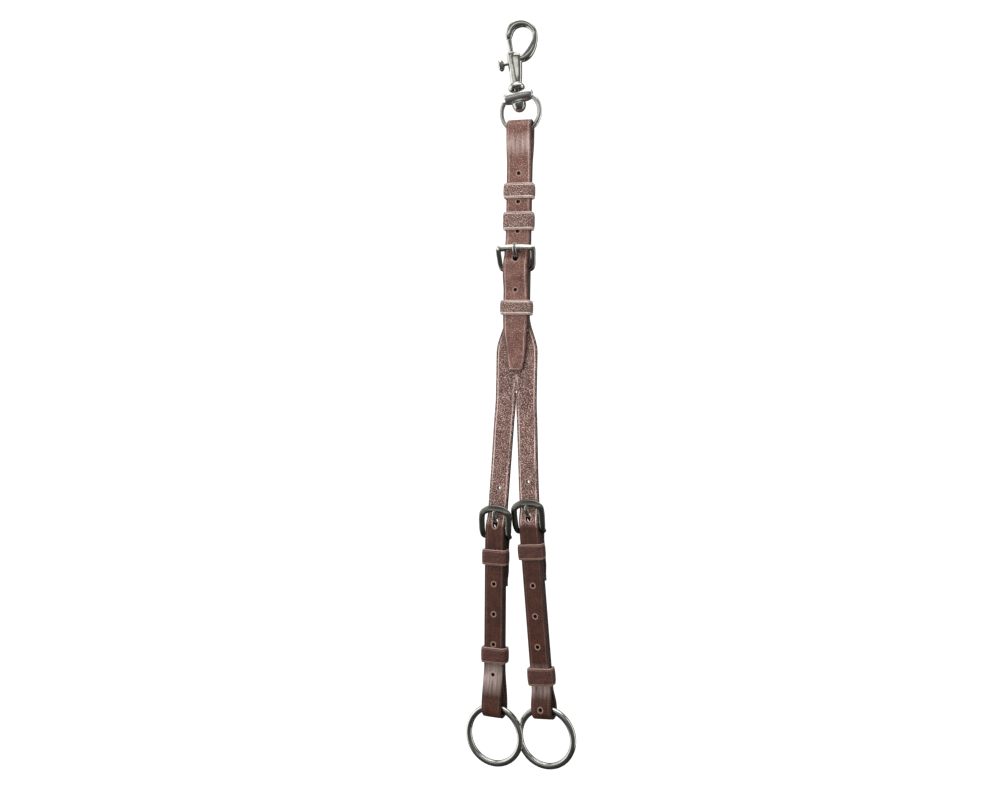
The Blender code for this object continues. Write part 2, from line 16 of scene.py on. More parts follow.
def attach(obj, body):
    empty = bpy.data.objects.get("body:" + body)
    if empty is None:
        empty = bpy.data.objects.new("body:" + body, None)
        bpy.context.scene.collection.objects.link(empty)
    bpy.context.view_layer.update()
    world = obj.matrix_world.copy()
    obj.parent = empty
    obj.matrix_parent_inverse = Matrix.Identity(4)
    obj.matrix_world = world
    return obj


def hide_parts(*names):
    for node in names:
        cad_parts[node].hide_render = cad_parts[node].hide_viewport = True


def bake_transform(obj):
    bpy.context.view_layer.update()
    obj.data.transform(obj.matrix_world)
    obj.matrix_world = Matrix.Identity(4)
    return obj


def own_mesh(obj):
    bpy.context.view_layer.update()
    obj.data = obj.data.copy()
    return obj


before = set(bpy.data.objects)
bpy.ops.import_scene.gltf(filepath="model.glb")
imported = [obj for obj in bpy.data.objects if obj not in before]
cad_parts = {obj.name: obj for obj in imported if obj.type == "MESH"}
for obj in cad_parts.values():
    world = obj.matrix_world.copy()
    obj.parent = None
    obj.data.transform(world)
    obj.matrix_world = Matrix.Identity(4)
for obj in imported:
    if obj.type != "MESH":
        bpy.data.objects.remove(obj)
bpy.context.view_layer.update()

MM = 0.001
GAP = 0.35 * MM
LEATHER = 3.0 * MM
THIN_LEATHER = 1.6 * MM
LAYER = 1.7 * MM
HOLE_RADIUS = 1.15 * MM
STRAP_HALF = 9.5 * MM
ARM_HALF = 8.0 * MM
SNAP_TILT = math.radians(-9)
SWIVEL = Vector((-2.4, 0, -53.2)) * MM
FOLD_TOP = 72.3 * MM
PIVOT_DEPTH = 281.0 * MM
SEAM = 275.6 * MM                  # depth of the slit's top, where the arms' leather takes over
YAW = math.radians(-9)
FORK_WIDENING = 6.5 * MM
EDGE = LAYER + LEATHER / 2         # how far two layers of strap reach each way
EYE_FOLD, EYE_LOOP = 77.8 * MM, 5.5 * MM
TOP_HEEL = 184.7 * MM
TOP_BAR, ARM_BAR = -3.5, 5.1       # through levels of the buckles' heel bars, in millimetres
THREAD_RISE = 0.05 * MM            # how far a stitch's middle stands off the leather
RING_RADIUS, RING_BORE, RING_WIRE = 21.5, 19.1, 2.4      # in millimetres

Line = namedtuple("Line", "x top lean_above lean_below bend_start bend_length yaw")
Arm = namedtuple("Arm", "name side line crest keeper keeper_height ring_depth holes")
UPPER = Line(-0.3 * MM, -FOLD_TOP, -0.0187, -0.0187, 0.1, 0.1, 0)
LEFT = Arm("left", -1, Line(-12.2 * MM, -PIVOT_DEPTH, -0.077, -0.008, 0.070, 0.055, YAW),
           82.7 * MM, 196.4 * MM, 11.8 * MM, 258.1 * MM, (-13.4, 59.6, 82.6, 105.6, 128.6))
RIGHT = Arm("right", 1, Line(3.8 * MM, -PIVOT_DEPTH, 0.020, 0.080, 0.040, 0.080, YAW),
            77.6 * MM, 210.4 * MM, 13.1 * MM, 256.4 * MM, (-13.4, 64.5, 87.5, 110.5, 133.5, 156.5))


def ease(amount):
    amount = np.clip(amount, 0, 1)
    return amount * amount * (3 - 2 * amount)


def bump(distance, width):
    """A smooth ridge: 1 on the line, fading to nothing about two widths away."""
    return np.exp(-(distance / width) ** 2)


def in_mm(rows):
    return [tuple(value * MM for value in row) for row in rows]


# Strap lines and routes, as in the part

def strap_frame(line, depth, turned=1.0):
    """The frame at a depth on a line: X across the strap, Y through it and Z up along it."""
    amount = min(1, max(0, (depth - line.bend_start) / line.bend_length))
    change = line.lean_below - line.lean_above
    lean = line.lean_above + change * ease(amount)
    past = max(0, depth - line.bend_start - line.bend_length)
    shift = line.lean_above * depth + change * ((amount ** 3 - amount ** 4 / 2) * line.bend_length + past)
    middle = Matrix.Translation((line.x + shift, 0, line.top - depth))
    return middle @ Matrix.Rotation(-math.atan(lean), 4, "Y") @ Matrix.Rotation(line.yaw * turned, 4, "Z")


def upper_frame(depth):
    """The frame at a depth below the origin on the upper strap."""
    return strap_frame(UPPER, depth - FOLD_TOP)


def arm_frame(arm, depth):
    """The frame at a depth below the fork's pivots; it grows out of the fork's own frame."""
    own = strap_frame(arm.line, depth, ease(depth / (arm.crest - 20 * MM)))
    share = ease((depth + PIVOT_DEPTH - SEAM) / (24 * MM))
    if share >= 1:
        return own
    fork = upper_frame(depth + PIVOT_DEPTH) @ Matrix.Translation((arm.side * ARM_HALF, 0, 0))
    return Matrix([[a + (b - a) * share for a, b in zip(*rows)] for rows in zip(fork, own)])


def glide(knots, steps=14):
    """Join (depth, through) knots with level runs and smooth changes of level."""
    route = [knots[0]]
    for (depth, level), (next_depth, next_level) in zip(knots, knots[1:]):
        for step in range(1, steps + 1):
            share = step / steps
            route.append((depth + (next_depth - depth) * share,
                          level + (next_level - level) * ease(share)))
    return route


def half_turn(depth, through, radius, start, side):
    """The inner points of a half circle; start and side say where it starts and which way it bulges."""
    steps = 28
    return [(depth + side * radius * math.sin(math.pi * step / steps),
             through + start * radius * math.cos(math.pi * step / steps))
            for step in range(1, steps)]


# Mesh making

def unit(rows):
    return rows / np.linalg.norm(rows, axis=1)[:, None]


def directions(points, closed=False):
    """Unit vectors along a line of points, or round a closed one."""
    return unit(np.roll(points, -1, 0) - np.roll(points, 1, 0) if closed else np.gradient(points, axis=0))


def distances(points):
    """How far along a line of points each of them lies."""
    return np.concatenate([[0], np.cumsum(np.linalg.norm(np.diff(points, axis=0), axis=1))])


def squarish(angles, power):
    """Points of a unit outline: a circle for a power of 2 and squarer above it."""
    return [np.sign(v) * np.abs(v) ** (2 / power) for v in (np.cos(angles), np.sin(angles))]


def in_scene(name, data):
    made = bpy.data.objects.new(name, data)
    bpy.context.scene.collection.objects.link(made)
    return made


def mesh_object(name, verts, faces, look, layers=None, matrix=None, sharp=50):
    """A closed, smooth-shaded mesh object with named point attributes."""
    mesh = bpy.data.meshes.new(name)
    mesh.from_pydata([tuple(v) for v in verts], [], [tuple(f) for f in faces])
    for layer, values in (layers or {}).items():
        values = np.asarray(values, np.float32)
        kind, slot = ("FLOAT_VECTOR", "vector") if values.ndim == 2 else ("FLOAT", "value")
        mesh.attributes.new(layer, kind, "POINT").data.foreach_set(slot, values.ravel())
    if matrix is not None:
        mesh.transform(matrix)
    shape = bmesh.new()
    shape.from_mesh(mesh)
    bmesh.ops.recalc_face_normals(shape, faces=shape.faces)
    shape.to_mesh(mesh)
    shape.free()
    mesh.shade_smooth()
    mesh.set_sharp_from_angle(angle=math.radians(sharp))
    mesh.materials.append(look)
    return in_scene(name, mesh)


def grid_faces(rows, columns, closed_rows=False, closed_columns=True):
    """Quads that join rows of vertices; rows and columns say how many there are."""
    faces = []
    for i in range(rows if closed_rows else rows - 1):
        for j in range(columns if closed_columns else columns - 1):
            k, n = (j + 1) % columns, (i + 1) % rows
            faces.append((i * columns + j, i * columns + k, n * columns + k, n * columns + j))
    return faces


def join(name, pieces):
    """Join pieces into the first one."""
    with bpy.context.temp_override(active_object=pieces[0], selected_editable_objects=pieces):
        bpy.ops.object.join()
    pieces[0].name = name
    pieces[0].data.name = name
    return pieces[0]


def bake_modifiers(piece):
    """Turn a piece's modifiers into its mesh."""
    graph = bpy.context.evaluated_depsgraph_get()
    mesh = bpy.data.meshes.new_from_object(piece.evaluated_get(graph))
    piece.modifiers.clear()
    piece.data = mesh
    mesh.name = piece.name
    mesh.shade_smooth()
    mesh.set_sharp_from_angle(angle=math.radians(40))
    return piece


def cast(name, pieces, voxel, passes):
    """Melt overlapping pieces into one casting with soft inner corners."""
    piece = join(name, pieces)
    melt = piece.modifiers.new("Melt", "REMESH")
    melt.mode = "VOXEL"
    melt.voxel_size = voxel
    soften = piece.modifiers.new("Soften", "SMOOTH")
    soften.factor = 0.5
    soften.iterations = passes
    return bake_modifiers(piece)


def cut(piece, *tools):
    """Cut the tools out of a piece and throw them away."""
    for tool in tools:
        step = piece.modifiers.new("Cut " + tool.name, "BOOLEAN")
        step.operation = "DIFFERENCE"
        step.object = tool
        step.solver = "EXACT"
    bpy.context.view_layer.update()
    bake_modifiers(piece)
    for tool in tools:
        bpy.data.objects.remove(tool, do_unlink=True)


def smooth_path(knots, steps, closed=False):
    """Sample a smooth curve through tuples of any length."""
    knots = np.array(knots, float)
    count = len(knots)
    spans = count if closed else count - 1
    samples = []
    for span in range(spans):
        pick = [span - 1, span, span + 1, span + 2]
        pick = [p % count for p in pick] if closed else [min(max(p, 0), count - 1) for p in pick]
        a, b, c, d = knots[pick]
        for t in np.arange(steps) / steps:
            samples.append(0.5 * (2 * b + (c - a) * t + (2 * a - 5 * b + 4 * c - d) * t ** 2
                                  + (3 * b - a - 3 * c + d) * t ** 3))
    if not closed:
        samples.append(knots[-1])
    return np.array(samples)


def rounded_profile(corners, radius, steps=4):
    """Round the inner corners of an open outline by about a radius."""
    corners = [Vector(c) for c in corners]
    points = [corners[0]]
    for before, corner, after in zip(corners, corners[1:], corners[2:]):
        ahead, behind = after - corner, before - corner
        start = corner + behind.normalized() * min(radius, behind.length * 0.45)
        end = corner + ahead.normalized() * min(radius, ahead.length * 0.45)
        for step in range(steps + 1):
            t = step / steps
            points.append(start * (1 - t) ** 2 + corner * 2 * t * (1 - t) + end * t * t)
    points.append(corners[-1])
    return points


def lathe(name, corners, matrix, look, radius=0.5, steps=56):
    """Turn (radius, height) corners, given in millimetres, into a solid; both ends lie on the axis."""
    profile = rounded_profile(corners, radius)
    angles = np.arange(steps) * 2 * math.pi / steps
    rings = [[(p.x * MM * math.cos(a), p.x * MM * math.sin(a), p.y * MM) for a in angles]
             for p in profile[1:-1]]
    verts = [v for ring in rings for v in ring]
    faces = grid_faces(len(rings), steps)
    for ring, pole in ((0, profile[0]), (len(rings) - 1, profile[-1])):
        verts.append((0, 0, pole.y * MM))
        for j in range(steps):
            faces.append((ring * steps + j, ring * steps + (j + 1) % steps, len(verts) - 1))
    return mesh_object(name, verts, faces, look, matrix=matrix)


def sweep(name, points, sizes, look, matrix=None, closed=False, front=(0, 1, 0), power=2.0, sides=24):
    """Sweep a rounded section along points.  Each size is (half width, half thickness); thickness is
    measured along front, or both are the same.  Open ends are domed."""
    points = np.array(points, float)
    sizes = np.array([(s, s) if np.isscalar(s) else tuple(s) for s in sizes], float)
    ahead = directions(points, closed)
    if not closed:
        dome = np.sin(np.linspace(0, math.pi / 2, 7)[1:-1])
        starts = [points[0] - ahead[0] * sizes[0].min() * d for d in dome[::-1]]
        ends = [points[-1] + ahead[-1] * sizes[-1].min() * d for d in dome]
        shrink = np.sqrt(1 - dome ** 2)
        sizes = np.vstack([sizes[0] * shrink[::-1, None], sizes, sizes[-1] * shrink[:, None]])
        tips = (points[0] - ahead[0] * sizes[len(dome)].min(),
                points[-1] + ahead[-1] * sizes[-1 - len(dome)].min())
        points = np.vstack([starts, points, ends])
        ahead = np.vstack([[ahead[0]] * len(dome), ahead, [ahead[-1]] * len(dome)])
    side = unit(np.cross(ahead, np.array(front, float)))
    out = np.cross(side, ahead)
    angles = np.arange(sides) * 2 * math.pi / sides
    curve = squarish(angles, power)
    verts = (points[:, None] + side[:, None] * (sizes[:, :1] * curve[0])[..., None]
             + out[:, None] * (sizes[:, 1:] * curve[1])[..., None]).reshape(-1, 3)
    faces = grid_faces(len(points), sides, closed_rows=closed)
    if not closed:
        verts = np.vstack([verts, tips])
        for ring, tip in ((0, len(verts) - 2), (len(points) - 1, len(verts) - 1)):
            faces += [(ring * sides + j, ring * sides + (j + 1) % sides, tip) for j in range(sides)]
    return mesh_object(name, verts, faces, look, matrix=matrix)


def box(matrix, low, high):
    """A box cutter from its lowest to its highest corner, in millimetres."""
    corners = [Vector((x, y, z)) * MM for x in (low[0], high[0]) for y in (low[1], high[1])
               for z in (low[2], high[2])]
    faces = [(0, 1, 3, 2), (4, 6, 7, 5), (0, 4, 5, 1), (2, 3, 7, 6), (0, 2, 6, 4), (1, 5, 7, 3)]
    return mesh_object("box_cutter", corners, faces, NICKEL, matrix=matrix)


# Leather strips

PATCH = 4.2 * MM                   # half width of the fine columns that holes are punched through
PATCH_MARGIN = 2.4 * MM            # how far the fine rows reach past a hole
HOLE_CELLS = 3                     # half of the grid cells that a hole takes out


def route_line(frame_at, route):
    """Centre line, across vectors, distances and depths of a route of (depth, through) pairs."""
    frames = [frame_at(depth) for depth, _ in route]
    centre = np.array([f @ Vector((0, through, 0)) for f, (_, through) in zip(frames, route)])
    across = np.array([f.to_3x3() @ Vector((1, 0, 0)) for f in frames])
    return centre, across, np.array([depth for depth, _ in route])


def strip(name, centre, across, look, thickness, widths, closed=False, crease=1.9 * MM, edge=1.05 * MM,
          ends=(True, True), holes=(), lines=(), crown=0.0, step=1.5 * MM, fine=17, inner_soft=None,
          groove=0.24 * MM, lay_from=(1, 0)):
    """A strip of leather along a centre line, with rounded edges, crease lines and punched holes.

    widths(distance) gives the half widths to the left and right.  holes are (distance, half length,
    half width, square), lines are grooves ((distance, across), (distance, across), depth), and
    inner_soft(distance) says how much of each side's edge is rounded.  lay_from is the sign and the
    sideways shift that carry the grain on from another piece.
    """
    loop = np.vstack([centre, centre[:1]]) if closed else centre
    length = distances(loop)
    total = length[-1]
    ahead = directions(centre, closed)
    if closed:
        ahead, across = (np.vstack([v, v[:1]]) for v in (ahead, across))
    even = np.linspace(0, total, max(8, int(total / (0.4 * MM))))

    def sampled(values, soften=0):
        """Values at even distances along the strip, softened over a few of them."""
        out = np.stack([np.interp(even, length, values[:, k]) for k in range(3)], 1)
        for _ in range(soften):
            if closed:
                ring = out[:-1]
                ring = (np.roll(ring, 1, 0) + ring * 2 + np.roll(ring, -1, 0)) / 4
                out = np.vstack([ring, ring[:1]])
            else:
                out[1:-1] = (out[:-2] + out[1:-1] * 2 + out[2:]) / 4
        return out

    middle, side, tangent = sampled(loop, 2), sampled(across), sampled(ahead, 6)
    normal = unit(np.cross(tangent, side))

    half_fine = (fine - 1) // 2
    patches = [(at, along + PATCH_MARGIN, hole_wide, square) for at, along, hole_wide, square in holes]
    rows = list(np.linspace(0, total, int(total / step) + 1))
    near_end = np.array([0, 0.12, 0.35, 0.7, 1.05, 1.4, 1.65, 1.9, 2.15, 2.5]) * MM
    for real, start, sign in ((ends[0], 0, 1), (ends[1], total, -1)):
        if real and not closed:
            rows = [r for r in rows if abs(r - start) > near_end[-1] + 0.3 * step]
            rows += list(start + sign * near_end)
    for at, reach, _, _ in patches:
        rows = [r for r in rows if abs(r - at) > reach + 0.3 * step]
        rows += list(at + reach * np.arange(-half_fine, half_fine + 1) / half_fine)
    if closed:
        rows = [r for r in rows if r < total - 0.3 * step]
    rows = np.array(sorted(rows))
    wide = np.array([widths(r) for r in rows])
    count = len(rows)

    from_edge = np.array([0, 0.1, 0.28, 0.55, 0.9]) * min(1, edge / (1.05 * MM)) * MM
    from_edge = np.concatenate([from_edge, crease + np.array([-0.42, -0.2, 0, 0.2, 0.42, 0.8]) * MM])
    inner = np.linspace(-1, 1, fine) * min(PATCH, wide.min() * 2)
    if not holes and fine <= 9:
        inner = np.linspace(-1, 1, fine) * (wide.min() * 0.45)
    fill = 4
    u_rows = []
    for left, right in wide:
        need = abs(inner[0]) + from_edge[-1] + 0.3 * MM
        parts, squeeze = [], []
        for sign, width in ((-1, left), (1, right)):
            full = max(width, need)
            edge_part = sign * (full - from_edge)
            gap = np.linspace(edge_part[-1], inner[0 if sign < 0 else -1], fill + 1)[1:-1]
            parts.append(np.concatenate([edge_part, gap]) * (width / full))
            squeeze.append(width / full)
        centre_part = inner * np.where(inner < 0, *squeeze)
        u_rows.append(np.concatenate([parts[0], centre_part, parts[1][::-1]]))
    across_at = np.array(u_rows)
    along_at = np.repeat(rows[:, None], across_at.shape[1], 1)
    columns = across_at.shape[1]
    first_fine = len(from_edge) + fill - 1

    hole_edge = np.full(across_at.shape, 1.0)
    taken = np.zeros((count, columns), bool)
    walls = []
    for at, reach, hole_wide, square in patches:
        start = int(np.argmin(np.abs(rows - (at - reach))))
        block = np.s_[start:start + fine, first_fine:first_fine + fine]
        reach_u = inner[-1]
        p = (along_at[block] - at) / reach
        q = across_at[block] / reach_u
        size = np.maximum(np.abs(p), np.abs(q))
        size_safe = np.maximum(size, 1e-9)
        hole_s, hole_u = squarish(np.arctan2(q, p), 4.5 if square else 2.0)
        hole_s, hole_u = hole_s * (reach - PATCH_MARGIN), hole_u * hole_wide
        rim_size = HOLE_CELLS / half_fine
        share = np.clip((size - rim_size) / (1 - rim_size), 0, 1) ** 1.6
        inside = size < rim_size - 1e-6
        new_s = hole_s + (p / size_safe * reach - hole_s) * share
        new_u = hole_u + (q / size_safe * reach_u - hole_u) * share
        along_at[block] = np.where(inside, along_at[block], at + new_s)
        across_at[block] = np.where(inside, across_at[block], new_u)
        hole_edge[block] = np.where(inside, 1, np.hypot(new_s - hole_s, new_u - hole_u))
        i, j = start + half_fine - HOLE_CELLS, first_fine + half_fine - HOLE_CELLS
        taken[i:i + 2 * HOLE_CELLS, j:j + 2 * HOLE_CELLS] = True
        corner = i * columns + j
        for way in (1, columns, -1, -columns):
            for _ in range(2 * HOLE_CELLS):
                walls.append((corner, corner + way))
                corner += way

    left, right = wide[:, :1], wide[:, 1:]
    off_left, off_right = left + across_at, right - across_at
    soft = np.array([inner_soft(r) for r in rows]) if inner_soft else np.ones((count, 2))
    off_end = np.full(across_at.shape, 1.0)
    for real, away in zip(ends, (along_at, total - along_at)):
        if real and not closed:
            off_end = np.minimum(off_end, away)
    near = np.minimum(np.minimum(off_left, off_right), off_end)

    def drop(distance, radius):
        inside = np.clip(1 - distance / radius, 0, 1)
        return 1 - np.sqrt(np.maximum(0, 1 - inside ** 2))

    lip = min(edge * 0.92, thickness * 0.42)
    fall = np.maximum(drop(off_left, edge) * soft[:, :1], drop(off_right, edge) * soft[:, 1:])
    fall = np.maximum(fall, drop(off_end, edge))
    height = thickness / 2 - lip * fall
    height = height - 0.4 * MM * drop(hole_edge, 0.45 * MM)
    height = height + 0.17 * MM * bump(hole_edge - 0.75 * MM, 0.42 * MM)
    marks = np.zeros(across_at.shape)
    for sign_soft, off in ((soft[:, :1], off_left), (soft[:, 1:], off_right)):
        reached = np.minimum(off, off_end)
        marks = np.maximum(marks, bump(reached - crease, 0.3 * MM) * (sign_soft > 0.02))
    height = height - groove * marks
    for (s0, u0), (s1, u1), deep in lines:
        ds, du = s1 - s0, u1 - u0
        t = np.clip(((along_at - s0) * ds + (across_at - u0) * du) / (ds * ds + du * du), 0, 1)
        away = np.hypot(along_at - s0 - t * ds, across_at - u0 - t * du)
        marks = np.maximum(marks, bump(away, 0.24 * MM))
        height = height - deep * bump(away, 0.24 * MM)
    puff = crown * (1 - (across_at / np.maximum(left, right)) ** 2)

    def place(s, u, h):
        flat = [np.interp(s, even, a[:, k]) for a in (middle, side, normal) for k in range(3)]
        m, a, n = (np.stack(flat[k:k + 3], -1) for k in (0, 3, 6))
        return m + a * u[..., None] + n * h[..., None]

    upper = place(along_at, across_at, height + puff)
    lower = place(along_at, across_at, -height + puff * 0.6)
    bulge = 0.1 * MM
    zero = np.zeros(count)
    sides = [place(rows, u, zero) for u in ((wide + bulge * soft) * (-1, 1)).T]
    verts = np.vstack([upper.reshape(-1, 3), lower.reshape(-1, 3), *sides])
    layer_size = count * columns
    left_id, right_id = 2 * layer_size, 2 * layer_size + count
    faces = [face for face in grid_faces(count, columns, closed, False) if not taken.flat[face[0]]]
    faces += [tuple(layer_size + corner for corner in reversed(face)) for face in faces]
    for column, side_id in ((0, left_id), (columns - 1, right_id)):
        for i in range(count if closed else count - 1):
            n = (i + 1) % count
            a, b = i * columns + column, n * columns + column
            faces.append((a, b, side_id + n, side_id + i))
            faces.append((side_id + i, side_id + n, layer_size + b, layer_size + a))
        if not closed:
            for i in (0, count - 1):
                corner = i * columns + column
                faces.append((corner, side_id + i, layer_size + corner))
    if not closed:
        walls += [(i * columns + j, i * columns + j + 1) for i in (0, count - 1) for j in range(columns - 1)]
    faces += [(a, b, layer_size + b, layer_size + a) for a, b in walls]
    way, aside = lay_from
    lay = [np.stack([way * along_at, across_at + aside, up * height], -1).reshape(-1, 3)
           for up in (way, -way)]
    lay += [np.stack([way * rows, u + aside, zero], -1) for u in (wide * (-1, 1)).T]
    fade = np.where(soft > 0.02, 0.0, 1.0)
    near = np.minimum(near + np.where(off_left < off_right, fade[:, :1], fade[:, 1:]), hole_edge)
    rim = bump(hole_edge - 0.7 * MM, 0.5 * MM)
    layers = {"lay": np.vstack(lay) * 1000}
    for key, values, at_sides in (("edge", near * 1000, fade.T * 1000), ("line", marks, np.zeros(2 * count)),
                                  ("rim", rim, np.zeros(2 * count))):
        layers[key] = np.concatenate([values.ravel(), values.ravel(), at_sides.ravel()])
    return mesh_object(name, verts, faces, look, layers, sharp=55)


def distance_of(centre, depths, depth, leg):
    """How far along a route a depth is met; leg 0 is the first time and 1 the second."""
    length = distances(centre)
    met = [k for k in range(len(depths) - 1) if (depths[k] - depth) * (depths[k + 1] - depth) <= 0
           and depths[k] != depths[k + 1]]
    k = met[0] if leg == 0 else [m for m in met if m > met[0] + 1][leg - 1]
    share = (depth - depths[k]) / (depths[k + 1] - depths[k])
    return length[k] + (length[k + 1] - length[k]) * share


# Materials; each helper adds its node to the tree of the first socket it is given

def feed(made, sockets):
    """Give a node its inputs; each is a socket to link or a value."""
    for key, value in sockets.items():
        if isinstance(value, bpy.types.NodeSocket):
            made.id_data.links.new(value, made.inputs[key])
        else:
            made.inputs[key].default_value = value


def node(tree, kind, sockets=None, **settings):
    made = tree.nodes.new("ShaderNode" + kind)
    for key, value in settings.items():
        setattr(made, key, value)
    feed(made, sockets or {})
    return made


def noise(place, scale, detail, rough=0.55, stretch=(1, 1, 1)):
    moved = node(place.id_data, "Mapping", {"Vector": place, "Scale": stretch}).outputs[0]
    return node(place.id_data, "TexNoise", {"Vector": moved, "Scale": scale, "Detail": detail,
                                            "Roughness": rough}).outputs["Fac"]


def ranged(value, low, high, to_low=0.0, to_high=1.0):
    return node(value.id_data, "MapRange", {"Value": value, "From Min": low, "From Max": high,
                                            "To Min": to_low, "To Max": to_high}).outputs[0]


def math_node(operation, a, b=0.0):
    return node(a.id_data, "Math", {0: a, 1: b}, operation=operation).outputs[0]


def times(a, b):
    return math_node("MULTIPLY", a, b)


def window(value, middle, inner, outer, strength=1.0):
    """A soft-edged band that is full within `inner` of its middle and gone beyond `outer`."""
    away = math_node("ABSOLUTE", math_node("SUBTRACT", value, middle))
    return ranged(away, inner, outer, strength, 0.0)


def mixed(share, a, b):
    """A mix of two colours; each is a socket or three numbers."""
    a, b = ((*colour, 1) if isinstance(colour, tuple) else colour for colour in (a, b))
    return node(share.id_data, "Mix", {0: share, 6: a, 7: b}, data_type="RGBA").outputs[2]


def bumped(height, distance, strength=1.0, under=None):
    sockets = {"Height": height, "Distance": distance, "Strength": strength}
    if under is not None:
        sockets["Normal"] = under
    return node(height.id_data, "Bump", sockets).outputs[0]


def new_material(name):
    made = bpy.data.materials.new(name)
    made.use_nodes = True
    return made, made.node_tree, made.node_tree.nodes["Principled BSDF"]


def leather(name, dark, light, line, rim, side, glint, fade=None, painted_shine=None):
    """Waxed harness leather; its pale crease lines are painted highlights.  Along the strip in mm, fade is
    (from, to, dark, light, share of the crease highlights and glints kept) and painted_shine is the (middle,
    reach, strength) of a patch of painted sheen."""
    made, tree, shader = new_material(name)
    lay = node(tree, "Attribute", attribute_name="lay").outputs["Vector"]
    edge, lines, rims = (node(tree, "Attribute", attribute_name=key).outputs["Fac"]
                         for key in ("edge", "line", "rim"))
    mottle = noise(lay, 0.16, 5.0, 0.62)
    streak = noise(lay, 1.0, 4.0, 0.6, (0.035, 0.55, 0.4))
    speck = noise(lay, 1.25, 2.0, 0.6)
    grain = node(tree, "TexVoronoi", {"Vector": lay, "Scale": 1.5, "Randomness": 1.0},
                 feature="SMOOTH_F1").outputs["Distance"]
    blend = math_node("ADD", times(mottle, 0.6), times(streak, 0.4))
    tone = ranged(blend, 0.36, 0.64)
    colour = mixed(tone, dark, light)
    glints = times(ranged(speck, 0.52, 0.64, 0.0, 0.66), ranged(mottle, 0.42, 0.58, 0.7, 1.0))
    crease_highlight_share = ranged(streak, 0.36, 0.6, 0.2, 1.0)
    along = node(tree, "SeparateXYZ", {0: lay}).outputs[0]
    if fade:
        start, end, far_dark, far_light, far_highlight_share = fade
        wander = math_node("ADD", along, times(mottle, 4.0))
        share = ranged(wander, start, end)
        colour = mixed(share, colour, mixed(tone, far_dark, far_light))
        keep = ranged(share, 0.0, 1.0, 1.0, far_highlight_share)
        crease_highlight_share, glints = times(crease_highlight_share, keep), times(glints, keep)
    colour = mixed(glints, colour, glint)
    # A paler patch along the strip is painted sheen, as if the leather there tilted up to the light.
    if painted_shine:
        centre, reach, strength = painted_shine
        sheen_share = times(window(along, centre, 0.1 * reach, reach), ranged(streak, 0.3, 0.72, 0.05, strength))
        colour = mixed(sheen_share, colour, PAINTED_SHEEN)
    pits = ranged(noise(lay, 2.6, 2.0, 0.6), 0.55, 0.72, 0.0, 0.55)
    colour = mixed(pits, colour, CUT_SIDE)
    # Pale crease lines: painted highlight where the creased edges catch the light, made uneven by the streak
    # noise.
    painted_crease_highlight = times(ranged(lines, 0.15, 0.85, 0.0, 0.9), crease_highlight_share)
    colour = mixed(painted_crease_highlight, colour, line)
    colour = mixed(ranged(rims, 0.2, 1.0, 0.0, 0.7), colour, rim)
    colour = mixed(ranged(edge, 0.75, 0.1, 0.0, 0.85), colour, side)
    relief = bumped(mottle, 0.5 * MM, 0.35)
    relief = bumped(grain, 0.09 * MM, 0.5, relief)
    relief = bumped(speck, 0.06 * MM, 0.5, relief)
    feed(shader, {"Base Color": colour, "Roughness": ranged(blend, 0.3, 0.7, 0.54, 0.36), "Normal": relief,
                  "Coat Weight": 0.18, "Coat Roughness": 0.3, "Specular IOR Level": 0.35})
    return made


def metal(name, colour, tint, low, high):
    """Plated metal with soft casting waves, fine scratches and slight staining; low and high limit its
    roughness."""
    made, tree, shader = new_material(name)
    place = node(tree, "TexCoord").outputs["Object"]
    stain = noise(place, 140.0, 4.0, 0.6)
    casting = noise(place, 260.0, 2.0, 0.5)
    scratch = noise(place, 900.0, 3.0, 0.6, (1.0, 1.0, 0.12))
    base = mixed(ranged(stain, 0.42, 0.68), colour, tint)
    waves = bumped(casting, 0.12 * MM, 0.5)
    feed(shader, {"Base Color": base, "Metallic": 1.0, "Roughness": ranged(stain, 0.3, 0.7, low, high),
                  "Normal": bumped(scratch, 0.004 * MM, 0.4, waves)})
    return made


# FORK_TONES are paler than the lower straps' tones, partly the leather's own colour and partly painted sheen.
FORK_TONES = (0.042, 0.0135, 0.008), (0.090, 0.033, 0.022)
# PAINTED_SHEEN is the colour of the painted sheen patches.
PAINTED_SHEEN = (0.56, 0.48, 0.44)
# CREASE_HIGHLIGHT colours the crease lines as a painted highlight.
CREASE_HIGHLIGHT, HOLE_RIM, CUT_SIDE = (0.54, 0.45, 0.41), (0.27, 0.18, 0.15), (0.014, 0.006, 0.004)
GLINT = (0.50, 0.42, 0.385)
STRAP_TONES = *FORK_TONES, CREASE_HIGHLIGHT, HOLE_RIM, CUT_SIDE, GLINT
# The upper strap's patch at 228 mm along it is painted sheen; past 35 mm it turns to other tones with fewer
# crease highlights and glints.
UPPER_LEATHER = leather("upper_leather", *STRAP_TONES,
                        fade=(35.0, 75.0, (0.058, 0.020, 0.013), (0.115, 0.045, 0.032), 0.45),
                        painted_shine=(228.0, 10.0, 0.38))
# The arms turn darker past -97 mm, below their buckles, with hardly any crease highlights or glints: partly
# own colour and partly painted shade, with the paler tones above as painted sheen. The patch at -220 mm is
# painted sheen.
ARM_LEATHER = leather("arm_leather", *STRAP_TONES,
                      fade=(-97.0, -103.0, (0.020, 0.0050, 0.0018), (0.042, 0.0115, 0.0045), 0.05),
                      painted_shine=(-220.0, 14.0, 0.42))
